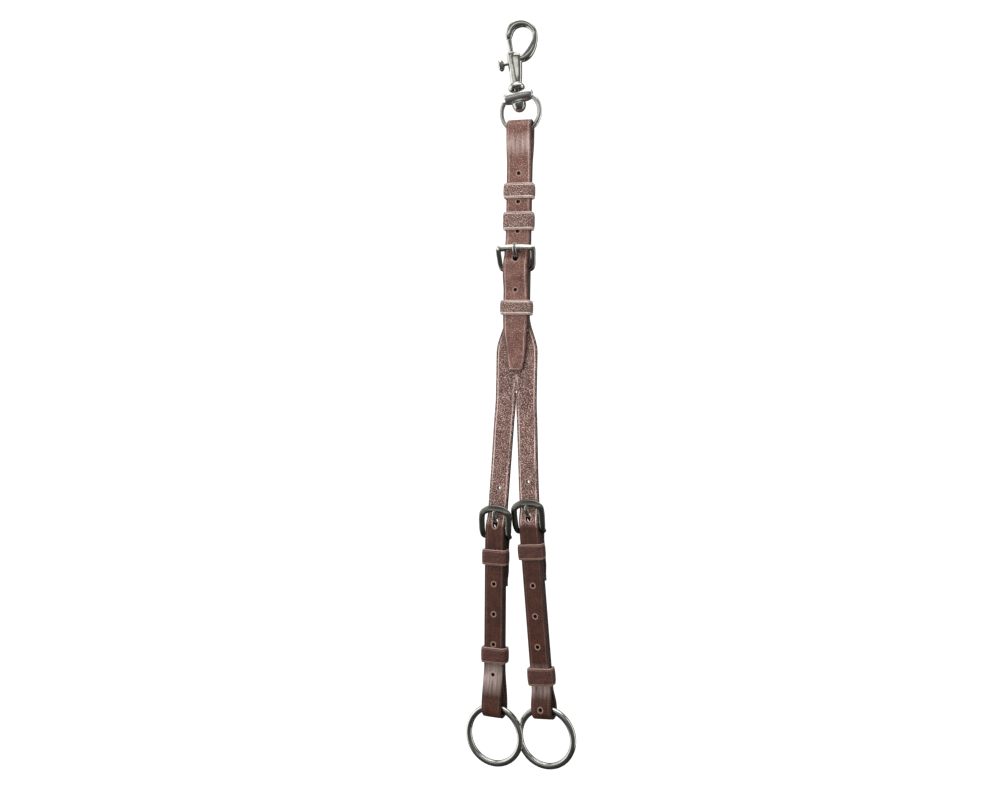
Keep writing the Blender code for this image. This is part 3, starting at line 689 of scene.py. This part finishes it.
# Keepers: the pale side colour on their lips and the pale line colour on their creases are painted
# highlights, and the upper keepers' paler tones are partly painted sheen.
TOP_KEEPERS = leather("keeper_leather", (0.038, 0.014, 0.009), (0.095, 0.041, 0.030),
                      (0.52, 0.43, 0.39), (0.10, 0.06, 0.05), (0.40, 0.31, 0.275), (0.52, 0.44, 0.40))
LOW_KEEPERS = leather("low_keeper_leather", (0.022, 0.006, 0.004), (0.048, 0.016, 0.011),
                      (0.16, 0.09, 0.07), (0.10, 0.06, 0.05), (0.22, 0.15, 0.125), (0.10, 0.05, 0.04))
NICKEL = metal("nickel_plate", (0.72, 0.71, 0.66), (0.56, 0.55, 0.50), 0.10, 0.20)
# LIT_NICKEL is nickel made paler as a painted highlight, for the swivel's eye to look brightly lit.
LIT_NICKEL = metal("lit_nickel_plate", (0.95, 0.94, 0.90), (0.85, 0.84, 0.79), 0.24, 0.34)
# SHADED_NICKEL is nickel darkened as painted shade, standing in for the dark surroundings that the arm
# buckles' flat faces reflect.
SHADED_NICKEL = metal("shaded_nickel", (0.25, 0.25, 0.215), (0.19, 0.19, 0.165), 0.16, 0.30)
STEEL = metal("spring_steel", (0.36, 0.36, 0.37), (0.28, 0.28, 0.29), 0.28, 0.4)


def thread_material():
    made, tree, shader = new_material("waxed_thread")
    place = node(tree, "TexCoord").outputs["Object"]
    twist = noise(place, 2600.0, 2.0)
    colour = mixed(twist, (0.020, 0.012, 0.009), (0.07, 0.045, 0.034))
    feed(shader, {"Base Color": colour, "Roughness": 0.6, "Normal": bumped(twist, 0.08 * MM)})
    return made


THREAD = thread_material()


def placed(piece, body, node_name, to_body=None):
    """Hand a piece to its body, or, when it spans two, bake its placement in and leave it unattached; either
    way it takes its CAD node's place.
    """
    if to_body:
        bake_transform(piece)
    else:
        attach(piece, body)
    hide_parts(node_name)
    piece.name = node_name + "_look"
    piece.data.name = piece.name


# Snap and swivel

SNAP = Matrix.Translation(SWIVEL) @ Matrix.Rotation(SNAP_TILT, 4, "Y")


def drill(name, radius, low, high, look):
    """A round cutter along the snap's axis."""
    return lathe(name, [(0, low), (radius, low), (radius, high), (0, high)], SNAP, look, radius=0.02)


def make_snap():
    """The snap's body, bolt, stud, spring and rivet, with heights above the swivel along its axis."""
    barrel = [(0, 34.3), (2.9, 34.3), (3.25, 34.1), (3.8, 33.5), (3.85, 32.6), (3.65, 31.8), (3.7, 30),
              (3.8, 24), (3.8, 16), (3.8, 10.0), (4.6, 9.7), (5.5, 8.9), (6.15, 7.9), (6.4, 6.9), (6.1, 5.9),
              (5.3, 5.2), (0, 5.2)]
    hook = [(-2.6, -24.2, 2.5, 2.5), (2.4, -23.9, 2.95, 2.9), (6.0, -21.2, 3.15, 3.0),
            (9.0, -16.4, 2.85, 2.7), (10.8, -10.6, 2.05, 2.2), (10.4, -5.2, 2.0, 2.1), (7.6, -0.9, 2.35, 2.3),
            (3.6, 1.8, 2.8, 2.6), (-1.2, 2.55, 3.2, 2.85), (-5.6, 1.0, 3.15, 2.9), (-8.3, -2.2, 3.05, 2.85),
            (-9.3, -5.2, 2.9, 2.75), (-9.6, -6.9, 2.6, 2.6)]
    shank = [(-2.7, -42.6, 3.1, 3.0), (-2.8, -38, 3.55, 3.4), (-2.9, -32, 3.7, 3.5), (-3.2, -26, 3.85, 3.7),
             (-3.4, -23.2, 3.9, 3.7)]
    parts = [lathe("barrel", barrel, SNAP, NICKEL, radius=0.35)]
    for name, knots, steps, power in (("hook", hook, 8, 2.35), ("web", shank, 6, 2.6)):
        path = smooth_path(knots, steps) * MM
        line = [(x, 0, z) for x, z, _, _ in path]
        parts.append(sweep(name, line, path[:, 2:], NICKEL, power=power, sides=32))
    body = cast("snap_body", parts, 0.27 * MM, 7)
    slot = box(SNAP, (-6, -1.5, 17.6), (0, 1.5, 28.2))
    cut(body, drill("bore", 2.2, 12, 42, NICKEL), drill("seat", 2.6, 3, 10.8, NICKEL), slot)
    placed(body, "snap", "snap_body")

    bolt = lathe("snap_bolt", [(0, 45.2), (1.2, 45.1), (1.85, 44.2), (1.85, 22.6), (0, 22.6)], SNAP, NICKEL,
                 radius=0.3, steps=40)
    placed(bolt, "bolt", "snap_bolt")
    side = SNAP @ Matrix.Translation((0, 0, 26.6 * MM)) @ Matrix.Rotation(-math.pi / 2, 4, "Y")
    profile = [(0, 11.35), (2.0, 11.3), (3.4, 10.8), (4.3, 9.9), (4.5, 9.0), (4.2, 8.2), (3.3, 7.4),
               (1.9, 6.9), (1.15, 6.3), (1.1, 2.3), (0.65, 2.2), (0.65, 0.9), (0, 0.9)]
    stud = lathe("bolt_thumb_stud", profile, side, NICKEL, radius=0.45, steps=44)
    placed(stud, "bolt", "bolt_thumb_stud")

    turns, per_turn = 6, 18
    low, high = 12.6, 22.0
    coil = []
    for step in range(turns * per_turn + 1):
        angle = 2 * math.pi * step / per_turn
        rise = low + (high - low) * step / (turns * per_turn)
        coil.append(Vector((1.45 * math.cos(angle), 1.45 * math.sin(angle), rise)) * MM)
    spring = sweep("bolt_spring", coil, [0.25 * MM] * len(coil), STEEL, matrix=SNAP, front=(0, 0, 1), sides=8)
    placed(spring, "snap", "bolt_spring")
    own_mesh(spring)

    profile = [(0, 10.4), (2.3, 10.4), (2.3, -5.2), (5.0, -5.2), (5.35, -5.5), (5.35, -6.3), (5.05, -7.8),
               (4.3, -9.5), (3.3, -10.7), (2.6, -11.05), (2.35, -11.4), (0, -11.4)]
    rivet = lathe("swivel_rivet", profile, SNAP, NICKEL, steps=48)
    placed(rivet, "snap", "swivel_rivet")


def make_eye():
    """The swivel's eye: a boss across the snap's axis and a round wire that both its ends run into."""
    across = SNAP @ Matrix.Rotation(math.pi / 2, 4, "Y")
    half = [(0, 11.6), (2.5, 11.6), (3.0, 11.2), (3.6, 10.4), (4.1, 9.4), (4.5, 7.4), (4.75, 5.2),
            (4.85, 2.0)]
    other_half = [(radius, -out) for radius, out in reversed(half)]
    # The eye takes the paler nickel: painted highlight.
    boss = lathe("boss", half + other_half, across, LIT_NICKEL, steps=48)
    radius, drop, boss_reach = 15.0, 12.0, 7.5
    opening = math.asin(boss_reach / radius)
    angles = math.pi / 2 + opening + (2 * math.pi - 2 * opening) * np.linspace(0, 1, 73)
    arc = [(radius * MM * math.cos(a), 0, radius * MM * math.sin(a) - drop * MM) for a in angles]
    wire = sweep("wire", arc, [1.9 * MM] * len(arc), LIT_NICKEL, matrix=SNAP)
    eye = cast("swivel_eye", [boss, wire], 0.28 * MM, 5)
    cut(eye, drill("hole", 2.6, -8, 8, LIT_NICKEL))
    placed(eye, "eye", "swivel_eye")


# Upper strap

def fork_half(depth):
    """Half of the strap's width, which grows from the neck to the fork."""
    return STRAP_HALF + FORK_WIDENING * ease((depth - 219 * MM) / (28 * MM))


def stitch(frame_here, across, through, up, run, radius=0.3 * MM):
    """A short stitch along the strap, half sunk in it."""
    ends = [frame_here @ Vector((across, through, up + part * run)) for part in (-0.5, -0.25, 0, 0.25, 0.5)]
    return sweep("thread", ends, [radius] * 5, THREAD, front=(1, 0.3, 0), sides=8)


def make_upper_strap():
    """The fork strap, from the slit up through the eye and back to its tip, and the top buckle's chape."""
    route = [(SEAM - step * 1.5 * MM, LAYER) for step in range(38)]
    route += glide([(route[-1][0] - 1 * MM, LAYER), (108 * MM, LAYER), (84.5 * MM, EYE_LOOP),
                    (EYE_FOLD, EYE_LOOP)], 40)
    route += half_turn(EYE_FOLD, 0, EYE_LOOP, 1, -1)
    route += glide([(EYE_FOLD, -EYE_LOOP), (84.5 * MM, -EYE_LOOP)]
                   + in_mm([(108, -1.7), (160, -1.7), (172, -4.9), (182.5, -8.75), (188, -8.75),
                            (201, -5.45), (231, -5.45), (246, -1.7), (261.4, -1.7)]), 16)
    centre, across, depths = route_line(upper_frame, route)
    turn_at = distance_of(centre, depths, EYE_FOLD, 0) + 8.6 * MM
    length = distances(centre)
    tip = np.array([(222, 9.5), (229, 9.25), (236, 8.8), (246, 7.8), (252, 7.1), (256.4, 6.35), (259.2, 5.6),
                    (260.7, 4.8), (261.4, 3.7)]) * MM

    def widths(s):
        depth = np.interp(s, length, depths)
        half = fork_half(depth) if s < turn_at else np.interp(depth, tip[:, 0], tip[:, 1])
        return half, half

    def at(depth):
        return distance_of(centre, depths, depth * MM, 1)

    holes = [(at(d), HOLE_RADIUS, HOLE_RADIUS, False) for d in (111.9, 133.3, 155.5, 200.1)]
    holes.append((at(176.5), 3.3 * MM, 2.0 * MM, False))
    fork_top = 263.6 * MM
    lines = [((SEAM - fork_top, sign * 0.25 * MM), (0.0, sign * 1.9 * MM), 0.24 * MM) for sign in (-1, 1)]
    strap = strip("fork_strap", centre, across, UPPER_LEATHER, LEATHER, widths, holes=holes, lines=lines,
                  ends=(False, True), fine=29, step=1.4 * MM)
    threads = [stitch(upper_frame(depth * MM), row * MM, EDGE + THREAD_RISE, 0, 2.5 * MM)
               for first, last in ((192, 232), (104, 119)) for row in (-7.0, 7.0)
               for depth in np.arange(first, last, 3.6)]
    placed(join("fork_strap", [strap] + threads), "strap", "fork_strap")

    legs = glide([(232 * MM, -0.9 * MM), (TOP_HEEL, -0.9 * MM)], 30)
    legs += half_turn(TOP_HEEL, TOP_BAR * MM, 2.6 * MM, 1, -1)
    legs += glide([(TOP_HEEL, -6.1 * MM)] + in_mm([(187.7, -6.1), (199, -2.8), (228, -2.8)]))
    centre, across, depths = route_line(upper_frame, legs)
    top = distance_of(centre, depths, TOP_HEEL, 0)
    chape = strip("top_buckle_chape", centre, across, UPPER_LEATHER, THIN_LEATHER,
                  lambda s: (STRAP_HALF, STRAP_HALF), edge=0.6 * MM,
                  holes=[(top + 6.2 * MM, 7.6 * MM, 2.8 * MM, True)])
    placed(chape, "strap", "top_buckle_chape")


def make_keeper(name, body, frame_here, height, half_across, front, look, crown=0.4 * MM):
    """A leather loop; front is the through level of the foremost layer inside it."""
    corner, seam_off = 1.55 * MM, 2.2
    reach = half_across + GAP + THIN_LEATHER / 2
    near = front - GAP - THIN_LEATHER / 2
    far = EDGE + GAP + THIN_LEATHER / 2
    corners = [(0, far), (-reach, far), (-reach, near), (reach, near), (reach, far), (0, far)]
    outline = []
    for before, here, after in zip(corners, corners[1:], corners[2:]):
        before, here, after = Vector(before), Vector(here), Vector(after)
        into, out = (here - before).normalized(), (after - here).normalized()
        hub = here - into * corner + out * corner
        for step in range(9):
            angle = math.pi / 2 * step / 8
            outline.append(hub - out * corner * math.cos(angle) + into * corner * math.sin(angle))
    outline.append(Vector((0, far)))
    dense = []
    for a, b in zip(outline, outline[1:] + outline[:1]):
        count = max(1, int((b - a).length / (0.5 * MM)))
        dense += [a.lerp(b, k / count) for k in range(count)]
    turned = frame_here.to_3x3()
    centre = np.array([frame_here @ Vector((p.x, p.y, 0)) for p in dense])
    across = np.array([turned @ Vector((0, 0, 1))] * len(dense))
    seam = distances(np.vstack([centre, centre[:1]]))[-1] - seam_off * MM
    half = height / 2
    piece = strip(name, centre, across, look, THIN_LEATHER, lambda s: (half, half), closed=True,
                  crease=1.35 * MM, edge=0.68 * MM, crown=crown, fine=9, step=0.75 * MM, groove=0.2 * MM,
                  lines=[((seam, -half), (seam, half), 0.35 * MM)])
    threads = []
    for off in (-1.7, 1.7):
        for up in np.arange(-half + 2.0 * MM, half - 1.2 * MM, 2.5 * MM):
            x = (seam_off + off) * MM
            level = far + THIN_LEATHER / 2 + THREAD_RISE + crown * (1 - (up / half) ** 2)
            threads.append(stitch(frame_here, x, level, up, 1.7 * MM, 0.25 * MM))
    placed(join(name, [piece] + threads), body, name)


def make_top_buckle():
    heel = upper_frame(TOP_HEEL)
    crest = [(-12.6, -9.0, 15.1, 2.2, 1.7), (-6.6, -9.3, 15.6, 2.5, 1.9), (0, -9.4, 15.7, 2.5, 1.9),
             (6.6, -9.3, 15.6, 2.5, 1.9), (12.6, -9.0, 15.1, 2.2, 1.7)]
    side = [(13.4, -8.3, 12.8, 1.95, 1.6), (13.1, -6.6, 8.2, 1.9, 1.5), (12.7, -4.6, 3.6, 1.85, 1.5),
            (11.6, -3.7, 0.9, 1.7, 1.5), (9.4, TOP_BAR, 0, 1.55, 1.5), (4.0, TOP_BAR, 0, 1.6, 1.6)]
    buckle_frame("top_buckle_frame", heel, crest, side, (0, -0.88, 0.47), "strap", NICKEL)
    tongue("top_buckle_tongue", "top_tongue", heel, TOP_BAR,
           [(-3.6, 2.4, 1.3, 1.3), (-4.2, 4.4, 1.5, 1.3), (-5.3, 6.8, 1.6, 1.3), (-7.6, 9.3, 1.6, 1.3),
            (-10.6, 11.8, 1.5, 1.25), (-12.7, 14.0, 1.4, 1.15), (-13.3, 16.0, 1.2, 1.0),
            (-13.1, 18.2, 0.8, 0.8)])


def buckle_frame(name, heel, crest, side, front, body, look):
    """A frame from its crest and one side down to the heel bar; rows are a place and two half sizes."""
    mirrored = [(-x, through, up, wide, thick) for x, through, up, wide, thick in reversed(side)]
    path = smooth_path(crest + side + mirrored, 7, closed=True) * MM
    piece = sweep(name, path[:, :3], path[:, 3:], look, matrix=heel, closed=True, front=front, power=3.4,
                  sides=28)
    placed(piece, body, name)


def tongue(name, body, heel, level, path):
    """A tongue: a sleeve on the heel bar and a tapering pin; path rows are through, up and two half sizes."""
    outer, inner, half = 2.9, 1.9, 2.2
    ring = rounded_profile([(inner, 0), (inner, half), (outer, half), (outer, -half), (inner, -half),
                            (inner, 0)], 0.3)[:-1]
    steps = 36
    turn = np.arange(steps) * 2 * math.pi / steps
    verts = [(p.y * MM, level * MM + p.x * MM * math.cos(a), p.x * MM * math.sin(a))
             for p in ring for a in turn]
    sleeve = mesh_object("sleeve", verts, grid_faces(len(ring), steps, closed_rows=True), NICKEL, matrix=heel)
    rows = smooth_path(path, 7) * MM
    pin = sweep("pin", [(0, y, z) for y, z, _, _ in rows], rows[:, 2:], NICKEL, matrix=heel,
                front=(0, -1, 0.01), power=2.4)
    placed(cast(name, [sleeve, pin], 0.2 * MM, 3), body, name)


# Arms

def ring_rise(radius):
    """How far above its centre a circle of this radius, in mm, meets the edges of an arm's strap."""
    return math.sqrt(radius ** 2 - (ARM_HALF / MM) ** 2) * MM


def make_arm(arm):
    """An arm's strap, buckle, keepers and ring; depths run from the fork's pivots."""
    name, crest, side = arm.name, arm.crest, arm.side
    body = name + "_arm"

    def frames(depth):
        return arm_frame(arm, depth)

    loop = 5.9 * MM
    fold = arm.ring_depth - ring_rise(RING_BORE) + 0.6 * MM + LEATHER / 2 - loop
    loop_start, loop_full = arm.keeper + 8.2 * MM, fold - 1.5 * MM
    heel = crest + 23.0 * MM
    start = SEAM - PIVOT_DEPTH
    route = [(start + step * MM, LAYER) for step in range(40)]
    route += glide([(36 * MM, LAYER), (crest, LAYER), (crest + 5.5 * MM, 1.6 * MM),
                    (crest + 17.5 * MM, -1.65 * MM), (crest + 28 * MM, -LAYER),
                    (loop_start - 30 * MM, -LAYER), (loop_start, -LAYER), (loop_full, -loop), (fold, -loop)])
    route += half_turn(fold, 0, loop, -1, 1)
    turn = 1.6 * MM + 0.3 * MM + LEATHER / 2          # round the heel bar, with some room
    route += glide([(fold, loop), (loop_full, loop), (loop_start, LAYER), (loop_start - 30 * MM, LAYER),
                    (heel + 10 * MM, LAYER), (heel, LAYER)])
    end_level = 6.9 * MM
    route += half_turn(heel, ARM_BAR * MM, turn, -1, -1)
    route += glide([(heel, ARM_BAR * MM + turn), (crest + 32 * MM, end_level), (crest + 50 * MM, end_level),
                    (crest + 58 * MM, 5.1 * MM), (crest + 62 * MM, 5.1 * MM)])
    centre, across, depths = route_line(frames, route)

    def widths(s):
        """The inner side is notched where the slit's round top lies."""
        radius = 0.85 * MM
        notch = math.sqrt(max(0, radius ** 2 - (s - radius) ** 2))
        if s > radius:
            notch = max(notch, 0.16 * MM)
        inner = ARM_HALF - notch
        return (ARM_HALF, inner) if side < 0 else (inner, ARM_HALF)

    def softness(s):
        inner = min(1, s / (1.2 * MM))
        return (1, inner) if side < 0 else (inner, 1)

    def at(depth):
        return distance_of(centre, depths, crest + depth * MM, 0)

    holes = [(at(d), HOLE_RADIUS, HOLE_RADIUS, False) for d in arm.holes]
    holes.append((at(13.55), 3.5 * MM, 1.75 * MM, False))
    heel_at = distance_of(centre, depths, heel - 0.001 * MM, 1)
    holes.append((heel_at + 5.4 * MM, 7.4 * MM, 2.8 * MM, True))
    strap = strip(body + "_strap", centre, across, ARM_LEATHER, LEATHER, widths, holes=holes,
                  ends=(False, True), inner_soft=softness, step=1.4 * MM, lay_from=(-1, side * ARM_HALF))
    back = end_level + LEATHER / 2 + THREAD_RISE
    threads = [stitch(frames(crest + depth * MM), row * MM, back, 0, 2.4 * MM) for row in (-5.6, 5.6)
               for depth in np.arange(34, 49, 3.4)]
    placed(join(body + "_strap", [strap] + threads), "strap", body + "_strap", body)

    heel_frame = frames(heel)
    arch = []
    for share in np.arange(-4, 5) / 4:
        fall = abs(share) ** 3
        arch.append((10.5 * share, -2.75, 20.6 - 3.6 * fall, 2.75 - 0.35 * fall, 1.25))
    flank = [(11.2, -2.55, 13.0, 2.35, 1.25), (11.1, -2.2, 7.6, 2.3, 1.25), (10.9, -1.7, 3.4, 2.2, 1.3),
             (10.5, -0.4, 0.1, 1.85, 1.4), (10.2, 2.3, -1.2, 1.6, 1.5), (9.3, 4.6, -0.7, 1.55, 1.5),
             (7.6, ARM_BAR, 0, 1.6, 1.5), (3.6, ARM_BAR, 0, 1.6, 1.6)]
    # The arm buckles' frames take the darkened nickel: painted shade.
    buckle_frame(name + "_buckle_frame", heel_frame, arch, flank, (0, -0.93, 0.36), body, SHADED_NICKEL)
    tongue(name + "_buckle_tongue", name + "_tongue", heel_frame, ARM_BAR,
           [(4.5, 2.3, 1.3, 1.3), (4.0, 4.0, 1.45, 1.2), (2.0, 6.6, 1.45, 1.1), (-0.6, 9.4, 1.45, 1.1),
            (-3.2, 12.3, 1.5, 1.25), (-5.0, 15.4, 1.35, 1.1), (-5.8, 18.3, 1.0, 0.9)])
    make_keeper(name + "_fixed_keeper", body, frames(crest + 39.2 * MM), 11.6 * MM, ARM_HALF, -EDGE,
                LOW_KEEPERS, crown=0.25 * MM)
    make_keeper(name + "_running_keeper", name + "_keeper", frames(arm.keeper), arm.keeper_height, ARM_HALF,
                -EDGE, LOW_KEEPERS)

    ring_frame = frames(arm.ring_depth)
    hang = ring_rise(RING_RADIUS)
    pivot = Matrix.Translation(ring_frame.translation + Vector((0, 0, hang))) @ Matrix.Rotation(YAW, 4, "Z")
    angles = np.arange(120) * 2 * math.pi / 120
    circle = [(RING_RADIUS * MM * math.cos(a), 0, RING_RADIUS * MM * math.sin(a) - hang) for a in angles]
    ring = sweep(name + "_ring", circle, [RING_WIRE * MM] * len(circle), NICKEL, matrix=pivot, closed=True,
                 sides=32)
    placed(ring, name + "_ring", name + "_ring")


# Studio

def reflections():
    """A dome that only reflections see: dark walls with tall bright windows and a bright ceiling."""
    mesh = bpy.data.meshes.new("reflection_dome")
    shape = bmesh.new()
    bmesh.ops.create_uvsphere(shape, u_segments=48, v_segments=24, radius=2.6)
    bmesh.ops.reverse_faces(shape, faces=shape.faces)
    shape.to_mesh(mesh)
    shape.free()
    look, tree, _ = new_material("reflection_dome")
    place = node(tree, "TexCoord").outputs["Object"]
    x, y, height = node(tree, "SeparateXYZ", {0: place}).outputs
    azimuth = math_node("ARCTAN2", x, times(y, -1.0))

    glow = math_node("ADD", window(azimuth, -1.6, 0.45, 0.75, 1.4), window(azimuth, 1.75, 0.16, 0.3, 1.6))
    glow = times(glow, window(height, 0.2, 1.4, 1.9))
    high_front = times(window(azimuth, -0.3, 0.4, 0.8), window(height, 0.95, 0.1, 0.3))
    ceiling = ranged(height, 2.0, 2.35, 0.0, 2.0)
    walls = ranged(height, -1.8, 0.2, 0.04, 0.14)
    for part in (high_front, ceiling, walls):
        glow = math_node("MAXIMUM", glow, part)
    light = node(tree, "Emission", {"Strength": glow})
    tree.links.new(light.outputs[0], tree.nodes["Material Output"].inputs["Surface"])
    mesh.materials.append(look)
    made = in_scene("reflection_dome", mesh)
    made.location = MIDDLE
    for ray in ("camera", "diffuse", "shadow", "transmission", "volume_scatter"):
        setattr(made, "visible_" + ray, False)


def softbox(name, azimuth, elevation, width, height, distance, power):
    """A rectangular light that faces the model's middle; it is seen by neither camera nor metal."""
    az, el = math.radians(azimuth), math.radians(elevation)
    aim = Vector((math.sin(az) * math.cos(el), -math.cos(az) * math.cos(el), math.sin(el)))
    data = bpy.data.lights.new(name, "AREA")
    data.shape = "RECTANGLE"
    data.size, data.size_y = width, height
    data.energy = power
    made = in_scene(name, data)
    made.location = MIDDLE + aim * distance
    made.rotation_euler = aim.to_track_quat("Z", "Y").to_euler()
    made.visible_camera = False
    made.visible_glossy = False


MIDDLE = Vector((-2, 0, -284)) * MM


def make_studio():
    """A white surround, soft lights, the dome and the camera."""
    world = bpy.data.worlds.new("studio")
    bpy.context.scene.world = world
    world.use_nodes = True
    sky = world.node_tree.nodes["Background"]
    sky.inputs[0].default_value = (1, 1, 1, 1)
    sky.inputs[1].default_value = 1.18
    world.cycles_visibility.glossy = False
    softbox("gloss_light", -24, -1, 1.0, 0.5, 1.5, 16)
    softbox("top_light", -10, 62, 1.2, 0.8, 1.4, 22)
    softbox("side_light", 75, 20, 0.7, 1.0, 1.5, 9)
    softbox("back_light", 200, 35, 1.2, 0.8, 1.6, 14)
    reflections()

    scene = bpy.context.scene
    scene.view_settings.view_transform = "Standard"
    lens = bpy.data.cameras.new("camera")
    lens.lens = 36.0
    lens.sensor_width = 36.0
    camera = in_scene("camera", lens)
    azimuth, distance = math.radians(15), 0.76
    target = Vector((-14.7, -3.9, -284)) * MM
    camera.location = target + Vector((math.sin(azimuth), -math.cos(azimuth), 0)) * distance
    camera.rotation_euler = (target - camera.location).to_track_quat("-Z", "Y").to_euler()
    scene.camera = camera


make_snap()
make_eye()
make_upper_strap()
make_top_buckle()
for keeper_name, keeper_depth, keeper_height, keeper_front in (
        ("upper_keeper", 125.0, 11.4, -EDGE), ("middle_keeper", 147.8, 13.4, -EDGE),
        ("neck_keeper", 213.5, 10.7, -6.95 * MM)):
    make_keeper(keeper_name, keeper_name, upper_frame(keeper_depth * MM), keeper_height * MM, STRAP_HALF,
                keeper_front, TOP_KEEPERS)
for one_arm in (LEFT, RIGHT):
    make_arm(one_arm)
make_studio()
